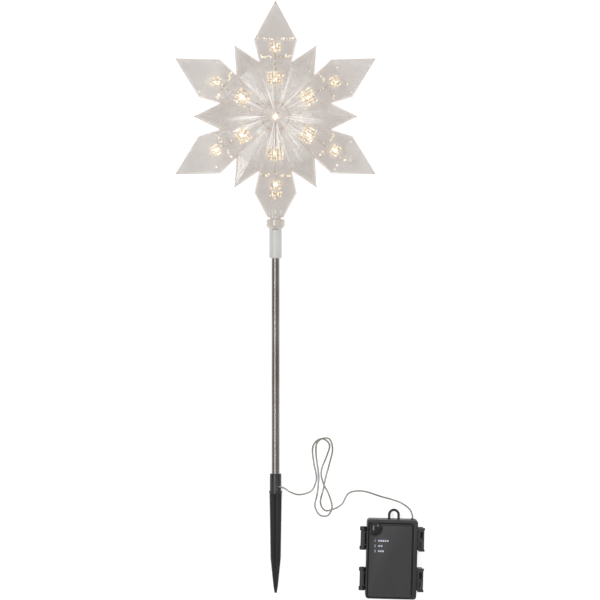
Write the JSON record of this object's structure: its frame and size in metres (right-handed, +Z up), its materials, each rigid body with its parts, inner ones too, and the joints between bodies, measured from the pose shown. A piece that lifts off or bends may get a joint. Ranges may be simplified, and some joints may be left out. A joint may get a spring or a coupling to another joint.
{
  "type": "light projector stake",
  "caption": "Clear lit snowflake on a steel pole with a push-in ground spike, wired by a thin lead to a weatherproof battery box with hinged lid, latches and push button.",
  "frame": {"origin": "centre of the footprint on the surface that the stake and the box lie on", "axes": "+Y along the pole towards the snowflake's top tip, +Z up out of the snowflake's front face, +X to the right"},
  "size_m": [0.2998, 0.7184, 0.0348],
  "materials": {
    "clear_plastic": "clear injection-moulded plastic, polished",
    "warm_lamp": "clear epoxy lamp with a warm white glow",
    "copper_lead": "enamelled copper wire",
    "frosted_collar": "slightly translucent beige plastic",
    "white_plastic": "off-white plastic, satin",
    "steel": "polished stainless steel tube",
    "black_plastic": "black moulded plastic",
    "clear_cord": "clear sheath over silver-coloured strands",
    "charcoal_plastic": "charcoal moulded plastic, fine grain",
    "gloss_black": "glossy black button cap",
    "gasket_rubber": "soft black rubber",
    "nickel": "nickel-plated steel",
    "cell_wrap": "plain printed sleeve on a steel can",
    "board_green": "green solder mask"
  },
  "bodies": {
    "spike_and_box": {"ground_spike": "black_plastic", "lead_cord": "clear_cord", "pole_lead": "clear_cord", "base_shell": "charcoal_plastic", "gasket": "gasket_rubber", "hinge_pin_1": "nickel", "hinge_pin_2": "nickel", "latch_pin_1": "nickel", "latch_pin_2": "nickel", "cell_1": "cell_wrap", "cell_2": "cell_wrap", "cell_3": "cell_wrap", "contact_spring_1": "nickel", "contact_spring_2": "nickel", "contact_spring_3": "nickel", "contact_plate_1": "nickel", "contact_plate_2": "nickel", "contact_plate_3": "nickel", "circuit_board": "board_green", "timer_chip": "black_plastic", "push_switch": "black_plastic", "cord_gland": "black_plastic"},
    "pole": {"pole": "steel", "pole_sleeve": "white_plastic"},
    "head": {"snowflake_front": "clear_plastic", "snowflake_back": "clear_plastic", "led_centre": "warm_lamp", "led_inner_1": "warm_lamp", "led_outer_1": "warm_lamp", "led_inner_2": "warm_lamp", "led_outer_2": "warm_lamp", "led_inner_3": "warm_lamp", "led_outer_3": "warm_lamp", "led_inner_4": "warm_lamp", "led_outer_4": "warm_lamp", "led_inner_5": "warm_lamp", "led_outer_5": "warm_lamp", "led_inner_6": "warm_lamp", "led_outer_6": "warm_lamp", "arm_lead_1": "copper_lead", "arm_lead_2": "copper_lead", "arm_lead_3": "copper_lead", "arm_lead_4": "copper_lead", "arm_lead_5": "copper_lead", "arm_lead_6": "copper_lead", "head_lead": "copper_lead", "neck_collar": "frosted_collar"},
    "lid": {"lid": "charcoal_plastic"},
    "button": {"switch_button": "gloss_black"},
    "latch_1": {"latch_1": "black_plastic"},
    "latch_2": {"latch_2": "black_plastic"}
  },
  "joints": [
    {"name": "pole_pull", "type": "slide", "parent": "spike_and_box", "child": "pole", "axis": [0, 0.9998, 0.0209], "range_m": [0, 0.015]},
    {"name": "head_pull", "type": "slide", "parent": "pole", "child": "head", "axis": [0, 0.9998, 0.0209], "range_m": [0, 0.02]},
    {"name": "lid_hinge", "type": "hinge", "parent": "spike_and_box", "child": "lid", "pos_m": [0.07521, -0.30929, 0.0185], "axis": [-0.0262, -0.9997, 0], "range_deg": [0, 110]},
    {"name": "button_press", "type": "slide", "parent": "lid", "child": "button", "axis": [0, 0, -1], "range_m": [0, 0.0015], "stiffness_N_per_m": 400, "springref_m": -0.001},
    {"name": "latch_1_swing", "type": "hinge", "parent": "spike_and_box", "child": "latch_1", "pos_m": [0.14542, -0.28682, 0.007], "axis": [0.0262, 0.9997, 0], "range_deg": [0, 90]},
    {"name": "latch_2_swing", "type": "hinge", "parent": "spike_and_box", "child": "latch_2", "pos_m": [0.14415, -0.3354, 0.007], "axis": [0.0262, 0.9997, 0], "range_deg": [0, 90]}
  ]
}
